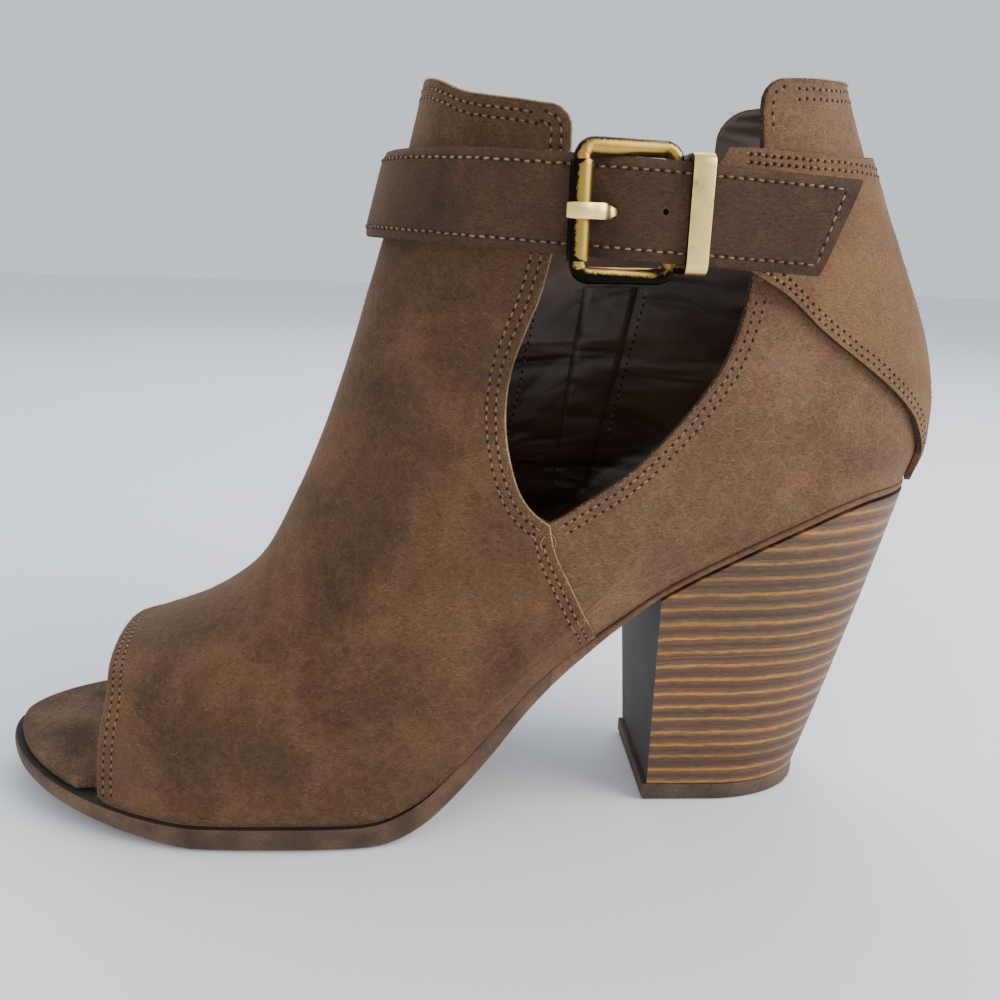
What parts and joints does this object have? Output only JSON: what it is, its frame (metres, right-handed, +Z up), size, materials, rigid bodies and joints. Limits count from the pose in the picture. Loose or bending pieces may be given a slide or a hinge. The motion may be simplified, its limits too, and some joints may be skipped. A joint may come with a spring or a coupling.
{
  "type": "peep toe ankle bootie",
  "caption": "Left open toe ankle bootie with a side cut-out, a buckled ankle strap and a stacked block heel, standing empty on its sole.",
  "frame": {"origin": "centre of the heel's ground face, on the floor", "axes": "+X from toe to heel, +Y towards the inner side, +Z up"},
  "size_m": [0.2394, 0.0935, 0.178],
  "materials": {
    "upper_suede": "mottled brown nubuck with a short nap",
    "strap_suede": "brown nubuck with stitched edges",
    "insole_suede": "brushed suede cover",
    "outsole_rubber": "matt tan brown, finely speckled",
    "stacked_heel": "satin stacked layers in caramel and brown",
    "lift_rubber": "matt grey brown",
    "aged_brass": "dark aged brass worn bright on its edges",
    "bright_brass": "scratched yellow brass"
  },
  "bodies": {
    "root": {"upper": "upper_suede", "back_panel": "upper_suede", "strap": "strap_suede", "insole": "insole_suede", "outsole": "outsole_rubber", "heel": "stacked_heel", "top_lift": "lift_rubber", "buckle_frame": "aged_brass", "buckle_roller": "bright_brass", "buckle_prong": "bright_brass", "buckle_keeper": "bright_brass"}
  },
  "joints": []
}
